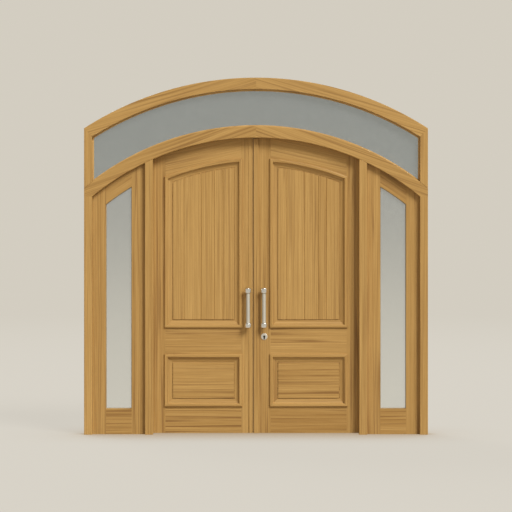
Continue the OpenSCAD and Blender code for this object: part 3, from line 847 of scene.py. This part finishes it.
def screw_row(name: str, places: Iterable[Matrix], material: bpy.types.Material, body: str) -> None:
    """Joins several screw heads into one piece on a body.

    Args:
        name: Name of the piece.
        places: Where each head sits.
        material: The finish of the heads.
        body: The body that carries them.
    """
    screw = Screw()
    corners: list[Vector] = []
    faces: Faces = []
    for place in places:
        part_corners, part_faces = screw.build(place)
        start = len(corners)
        corners += part_corners
        faces += [tuple(start + i for i in face) for face in part_faces]
    add_piece(name, corners, faces, material, body)


def facing_x(x: float, y: float, z: float, way: float, turn: float) -> Matrix:
    """A place whose outside looks along X, one way or the other, turned about itself."""
    aim = Matrix.Rotation(math.copysign(math.pi / 2, way), 4, "Y")
    return Matrix.Translation((x, y, z)) @ aim @ Matrix.Rotation(turn, 4, "Z")


@dataclass
class Frame:
    """Jambs, mullions, arches and posts of the frame."""

    wood: Timber = DOOR_WOOD
    uprights: Sequence[str] = ("jamb", "mullion", "transom_post")
    upright_tone: float = 0.04
    tone_swing: float = 0.02
    tone_step: float = 2.4
    head_chord: float = 0.342
    crown_chord: float = 0.284

    def dress(self) -> None:
        """Gives every frame member its wood."""
        names = [f"{side.word}_{upright}" for upright in self.uprights for side in Side]
        for number, name in enumerate(names):
            tone = self.upright_tone + self.tone_swing * math.sin(self.tone_step * number)
            wood = self.wood.build(f"{name}_wood", Run.UPRIGHT, seed=1.0 + number, tone=tone, figure=0.35)
            dress(name, wood)
        for number, side in enumerate(Side):
            for chord, member in ((self.head_chord, "head_arch"), (self.crown_chord, "crown_arch")):
                name = f"{side.word}_{member}"
                wood = self.wood.build(f"{name}_wood", Run.CHORD, seed=11.0 + number + 4.0 * chord, tone=0.06,
                                       figure=0.60, chord=chord)
                dress(name, wood)


@dataclass
class Lights:
    """Sidelight sashes and the transom light, with their glass and beads."""

    wood: Timber = DOOR_WOOD
    bead: Timber = SHADE_LIFTED_BEAD_WOOD
    sash_chord: float = 0.576
    transom_chord: float = 0.31
    seal_w: float = 0.004
    arch_steps: int = 24

    def dress(self) -> None:
        """Gives the sashes, beads and glass their finishes."""
        pane = SIDELIGHT_GLASS.build("reflective_glass")
        # The transom glass gets the darker copy of the glass: painted shade
        dress("transom_glass", DIMMED_TRANSOM_GLASS.build("transom_reflective_glass"))
        # Painted light: the paler bead wood offsets the shade under the crown arch
        transom_bead = self.bead.build("transom_bead_wood", Run.TRANSOM_BEADS, seed=21.0, figure=0.5,
                                       chord=self.transom_chord)
        dress("transom_beads", transom_bead)
        for number, side in enumerate(Side):
            stile = self.wood.build(f"{side.word}_sash_stile_wood", Run.UPRIGHT, seed=23.0 + number,
                                    tone=-0.10, figure=0.6, joints=(sum(PANE_X) / 2,))
            # The sash rails' darker tone is painted shade for the dimmer light near the floor, which the
            # arched top rails take on too
            rail = self.wood.build(f"{side.word}_sash_rail_wood", Run.SASH_RAILS, seed=27.0 + number,
                                   tone=-0.16, figure=0.7, chord=self.sash_chord)
            bead = self.bead.build(f"{side.word}_sash_bead_wood", Run.SASH_BEADS, seed=31.0 + number,
                                   chord=self.sash_chord)
            dress(f"{side.word}_sidelight_stiles", stile)
            dress(f"{side.word}_sidelight_rails", rail)
            dress(f"{side.word}_sidelight_glass", pane)
            dress(f"{side.word}_sidelight_beads", bead)

    def outline(self, inset: float, side: Side) -> list[tuple[float, float]]:
        """Draws the edge of a sidelight's clear glass.

        Args:
            inset: How far the edge is drawn in.
            side: The sidelight's side.

        Returns:
            Its points in X and Z.
        """
        low, high = PANE_X[0] + inset, PANE_X[1] - inset
        radius = PANE_R - inset
        steps = [low + (high - low) * i / self.arch_steps for i in range(self.arch_steps + 1)]
        arch = [(x, ARCH_CENTRE_Z + math.sqrt(radius * radius - x * x)) for x in steps]
        points = [(high, PANE_Z + inset), (low, PANE_Z + inset), *arch]
        return [(side.value * x, z) for x, z in points]

    def build(self) -> None:
        """Runs a fillet of sealant round the front of each sidelight's glass."""
        material = GLAZING_SEALANT.build("glazing_sealant")
        front = PANE_LOW.y
        for side in Side:
            outer = self.outline(0.0, side)
            inner = self.outline(self.seal_w, side)
            rings = ((outer, front), (outer, front - self.seal_w), (inner, front))
            corners = [Vector((x, y, z)) for line, y in rings for x, z in line]
            count = len(outer)
            faces: Faces = []
            for ring in range(len(rings)):
                after = (ring + 1) % len(rings)
                for i in range(count):
                    j = (i + 1) % count
                    face = (ring * count + i, ring * count + j, after * count + j, after * count + i)
                    faces.append(face if side is Side.RIGHT else tuple(reversed(face)))
            add_piece(f"{side.word}_sidelight_seal", corners, faces, material, "frame")


@dataclass
class Leaf:
    """One panelled leaf with its mouldings, hinges and pull handles."""

    side: Side
    joints: Sequence[float]
    seed: float
    meeting_tone: float
    wood: Timber = DOOR_WOOD
    top_chord: float = 0.218
    plate_half_h: float = 0.050
    plate_gap: float = 0.003
    screw_rise: Sequence[float] = (-0.036, -0.012, 0.012, 0.036)
    screw_shift: float = 0.006
    screw_turn: float = 0.7

    @property
    def name(self) -> str:
        """The word that begins the names of the leaf's pieces."""
        return self.side.word

    def dress(self) -> None:
        """Gives the leaf's wood and its own metal their finishes."""
        # The bottom rail's darker tone is painted shade for the dimmer light near the floor
        pieces = (
            ("hinge_stile", Run.UPRIGHT, -0.11, 0.7), ("meeting_stile", Run.UPRIGHT, self.meeting_tone, 0.6),
            ("mid_rail", Run.LEVEL, 0.03, 0.9), ("bottom_rail", Run.LEVEL, -0.15, 1.0),
            ("lower_panel", Run.LEVEL, 0.02, 0.8),
        )
        for number, (piece, run, tone, figure) in enumerate(pieces):
            node = f"{self.name}_{piece}"
            dress(node, self.wood.build(f"{node}_wood", run, self.seed + number, tone, figure))
        top = self.wood.build(f"{self.name}_top_rail_wood", Run.CHORD, self.seed + 6.0, tone=0.03, figure=0.6,
                              chord=self.top_chord)
        dress(f"{self.name}_top_rail", top)
        boards = self.wood.build(f"{self.name}_board_wood", Run.UPRIGHT, self.seed + 7.0, tone=0.05,
                                 figure=0.4, joints=self.joints)
        dress(f"{self.name}_upper_panel", boards)
        for number, face in enumerate(("outer", "inner")):
            node = f"{self.name}_{face}_mouldings"
            wood = self.wood.build(f"{node}_wood", Run.MOULDINGS, self.seed + 8.0 + number, tone=-0.04,
                                   figure=0.4, chord=self.top_chord)
            dress(node, wood)
        dress(f"{self.name}_hinge_plates", HINGE_STEEL.build(f"{self.name}_hinge_metal"))
        dress(f"{self.name}_pull_bars", GRIP_STEEL.build(f"{self.name}_grip_metal"))
        dress(f"{self.name}_pull_posts", POST_STEEL.build(f"{self.name}_post_metal"))

    def hinge_heights(self) -> list[float]:
        """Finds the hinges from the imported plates.

        Returns:
            Heights of the middles of the three hinges.
        """
        low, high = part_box(f"{self.name}_hinge_plates")
        foot, top = low.z + self.plate_half_h, high.z - self.plate_half_h
        return [foot, (foot + top) / 2, top]

    def screw_places(self, x: float, way: float) -> list[Matrix]:
        """Staggers the screws of the plates on one side of the hinges.

        Args:
            x: Place of the plates' outside along X.
            way: The way that it looks along X.

        Returns:
            Where each screw head sits.
        """
        plate_y = (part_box(f"{self.name}_hinge_plates")[0].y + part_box(f"{self.name}_hinge_stile")[1].y) / 2
        places = []
        for middle in self.hinge_heights():
            for number, rise in enumerate(self.screw_rise):
                y = plate_y + self.screw_shift * (-1) ** number
                z = middle + rise
                places.append(facing_x(x, y, z, way, self.screw_turn * number + z))
        return places

    def build(self) -> None:
        """Adds the screws of the hinge plates on the leaf and on the frame."""
        steel = HINGE_STEEL.build(f"{self.name}_screw_metal")
        low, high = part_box(f"{self.name}_hinge_stile")
        way = self.side.value
        edge = high.x if self.side is Side.RIGHT else low.x
        on_leaf = self.screw_places(edge, way)
        on_frame = self.screw_places(edge + way * self.plate_gap, -way)
        screw_row(f"{self.name}_leaf_hinge_screws", on_leaf, steel, f"{self.name}_leaf")
        screw_row(f"{self.name}_frame_hinge_screws", on_frame, steel, "frame")


@dataclass
class LockSet:
    """Astragal, seals, lock, strike and flush bolt at the meeting line."""

    wood: Timber = DOOR_WOOD
    screw_inset: float = 0.009
    screw_turn: tuple[float, float] = (0.4, 3.0)
    seal_y: float = -0.0175
    seal_t: float = 0.004
    seal_reach: float = 0.0019
    seal_steps: int = 6

    def dress(self) -> None:
        """Gives the strip, the lock, the bolts and the fixed parts of the hinges their finishes."""
        dress("astragal", self.wood.build("astragal_wood", Run.UPRIGHT, seed=61.0, tone=-0.02, figure=0.5))
        # The near-black key cylinder and plug are partly painted shade for the dark keyhole
        for node in ("lock_case", "key_cylinder", "key_plug"):
            dress(node, LOCK_IRON_AND_KEYHOLE_SHADE.build(f"{node}_metal"))
        dress("lock_rosettes", ROSETTE_STEEL.build("rosette_metal"))
        dress("lock_bolt", LOCK_BRASS.build("lock_bolt_metal"))
        for node in ("lock_forend", "strike_plate", "flush_bolt_plate", "flush_bolt"):
            dress(node, LOCK_STEEL.build(f"{node}_metal"))
        dress("frame_hinge_plates", HINGE_STEEL.build("frame_hinge_metal"))
        dress("hinge_pins", HINGE_STEEL.build("hinge_pin_metal"))

    def build(self) -> None:
        """Adds the two screws of each plate in the edges of the leaves, and the seals there."""
        steel = LOCK_STEEL.build("edge_screw_metal")
        plates = (
            ("lock_forend", "right_leaf", Side.LEFT), ("strike_plate", "left_leaf", Side.RIGHT),
            ("flush_bolt_plate", "left_leaf", Side.RIGHT),
        )
        start, twist = self.screw_turn
        for node, body, way in plates:
            low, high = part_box(node)
            x = high.x if way is Side.RIGHT else low.x
            heights = (low.z + self.screw_inset, high.z - self.screw_inset)
            places = [facing_x(x, 0.0, z, way.value, start + twist * z) for z in heights]
            screw_row(f"{node}_screws", places, steel, body)
        rubber = MEETING_RUBBER.build("meeting_seal_rubber")
        for side in Side:
            self.build_seal(side, rubber)

    def build_seal(self, side: Side, rubber: bpy.types.Material) -> None:
        """Adds the round-nosed rubber seal in the meeting edge of one leaf.

        Args:
            side: The leaf's side.
            rubber: The seal's finish.
        """
        low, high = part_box(f"{side.word}_meeting_stile")
        way = -side.value
        edge = high.x if side is Side.LEFT else low.x
        angles = [math.pi * (i / self.seal_steps - 0.5) for i in range(self.seal_steps + 1)]
        nose = [(self.seal_reach * math.cos(a), self.seal_t / 2 * math.sin(a)) for a in angles]
        top = ARCH_CENTRE_Z + math.sqrt(LEAF_R ** 2 - (abs(edge) + self.seal_reach) ** 2)
        corners = [Vector((edge + way * x, self.seal_y + y, z)) for z in (low.z, top) for x, y in nose]
        count = len(nose)
        sides = [(i, (i + 1) % count, count + (i + 1) % count, count + i) for i in range(count)]
        faces = [*sides, tuple(reversed(range(count))), tuple(range(count, 2 * count))]
        if way < 0:
            faces = [tuple(reversed(face)) for face in faces]
        add_piece(f"{side.word}_meeting_seal", corners, faces, rubber, f"{side.word}_leaf")


@dataclass
class Studio:
    """Pale floor, soft light and the camera."""

    floor: Colour = (0.722, 0.688, 0.617)
    backdrop: Colour = (0.652, 0.612, 0.533)
    ground: Colour = (0.420, 0.392, 0.345)
    ground_speckle: float = 0.02
    ground_fine: float = 3.0
    # Painted contact shade on the floor: the warm brown that the floor's seen colour darkens to near the
    # door, how far out it reaches and how it fades
    contact: Colour = (0.535, 0.415, 0.285)
    contact_reach: float = 0.80
    contact_window: Window = (0.0, 0.55)
    contact_samples: int = 8
    steady: float = 0.80
    reach: float = 150.0
    melt: Window = (4.0, 30.0)
    sky: Colour = (0.540, 0.480, 0.385)
    seen_sky: Colour = (0.300, 0.305, 0.292)
    lamp_tint: Colour = (0.97, 0.985, 1.0)
    lamp_angle: float = 0.42
    key: float = 2.68
    key_way: Triple = (-0.75, 1.0, -1.05)
    fill: float = 1.1
    fill_way: Triple = (0.6, -1.0, -1.0)
    view_distance: float = 14.0
    view_height: float = 1.386
    view_end: float = 400.0
    pixel: float = 0.007756
    pixels: int = 512
    sensor: float = 36.0

    def build(self) -> None:
        """Sets up the floor, the world, the lamps and the camera."""
        self.build_floor()
        self.build_light()
        self.build_camera()

    def floor_material(self) -> bpy.types.Material:
        """Makes the floor's finish, which keeps shadows, has a warm painted contact shade near the door and
        melts into the background far off.

        Returns:
            The material.
        """
        material, graph = new_material("pale_floor")
        x, y, _ = graph.place()
        speck = graph.cloud((self.ground_fine,) * 3, 4.0)
        pale = graph.grey((speck - 0.5) * self.ground_speckle + 1.0)
        lit = graph.mix(1.0, self.ground, pale, Blend.PRODUCT)
        matt = graph.surface({"Base Color": lit, "Roughness": 0.9, "Specular IOR Level": 0.0})
        # Painted shade: ambient occlusion darkens the floor's seen colour towards a warm brown near the door,
        # standing in for its contact shadow and the warm light that the wood throws back
        shade_probe = graph.node("ShaderNodeAmbientOcclusion", {"samples": self.contact_samples},
                          {"Distance": self.contact_reach})
        painted_shade_share = (1.0 - graph.wire(shade_probe, "AO")).smooth(*self.contact_window)
        far = graph.length(x, y).smooth(*self.melt)
        colour = graph.mix(far, self.floor, self.backdrop)
        colour = graph.mix(painted_shade_share, colour, self.contact)
        seen = graph.wire(graph.node("ShaderNodeEmission", inputs={"Color": colour, "Strength": 1.0}))
        rays = graph.node("ShaderNodeLightPath")
        share = graph.wire(rays, "Is Camera Ray").larger(graph.wire(rays, "Is Glossy Ray"))
        share = share.larger(graph.wire(rays, "Is Transmission Ray")) * far.choose(1.0, self.steady)
        both = graph.node("ShaderNodeMixShader", inputs={0: share, 1: matt, 2: seen})
        graph.finish(graph.wire(both))
        return material

    def build_floor(self) -> None:
        """Lays a wide flat floor."""
        ways = ((-1, -1), (1, -1), (1, 1), (-1, 1))
        corners = [(x * self.reach, y * self.reach, 0.0) for x, y in ways]
        mesh = bpy.data.meshes.new("floor")
        mesh.from_pydata(corners, [], [tuple(range(len(corners)))])
        mesh.materials.append(self.floor_material())
        floor = bpy.data.objects.new("floor", mesh)
        bpy.context.scene.collection.objects.link(floor)

    def build_light(self) -> None:
        """Sets up an even warm world, a soft lamp from the upper right and a weak one behind."""
        world = bpy.data.worlds.new("studio")
        world.use_nodes = True
        bpy.context.scene.world = world
        graph = Graph(world.node_tree)
        rays = graph.node("ShaderNodeLightPath")
        colour = graph.mix(graph.wire(rays, "Is Glossy Ray"), self.sky, self.seen_sky)
        colour = graph.mix(graph.wire(rays, "Is Camera Ray"), colour, self.backdrop)
        sky = graph.node("ShaderNodeBackground", inputs={"Color": colour, "Strength": 1.0})
        graph.finish(graph.wire(sky), "ShaderNodeOutputWorld")
        lamps = (("soft_key", self.key, self.key_way), ("back_fill", self.fill, self.fill_way))
        for name, energy, way in lamps:
            lamp = bpy.data.lights.new(name, "SUN")
            lamp.energy = energy
            lamp.angle = self.lamp_angle
            lamp.color = self.lamp_tint
            piece = bpy.data.objects.new(name, lamp)
            piece.rotation_euler = Vector(way).to_track_quat("-Z", "Y").to_euler()
            bpy.context.scene.collection.objects.link(piece)

    def build_camera(self) -> None:
        """Sets a level camera square to the doorway, at the photograph's scale."""
        lens = bpy.data.cameras.new("camera")
        lens.sensor_fit = "HORIZONTAL"
        lens.sensor_width = self.sensor
        lens.lens = self.sensor * self.view_distance / (self.pixel * self.pixels)
        lens.clip_end = self.view_end
        camera = bpy.data.objects.new("camera", lens)
        camera.location = (0.0, CAD_BOX[0][1] - self.view_distance, self.view_height)
        camera.rotation_euler = (math.pi / 2, 0.0, 0.0)
        bpy.context.scene.collection.objects.link(camera)
        bpy.context.scene.camera = camera


def main() -> None:
    """Builds and dresses every sub-assembly in order, then sets up the studio."""
    logging.basicConfig(level=logging.INFO, format="%(name)s: %(message)s")
    bpy.context.scene.view_settings.view_transform = "Standard"
    assemblies = (
        Lights(),
        Leaf(Side.LEFT, LEFT_BOARD_JOINTS, seed=41.0, meeting_tone=0.06),
        Leaf(Side.RIGHT, RIGHT_BOARD_JOINTS, seed=153.0, meeting_tone=-0.17),
        LockSet(),
    )
    Frame().dress()
    for assembly in assemblies:
        assembly.dress()
        assembly.build()
    Studio().build()


if __name__ == "__main__":
    main()
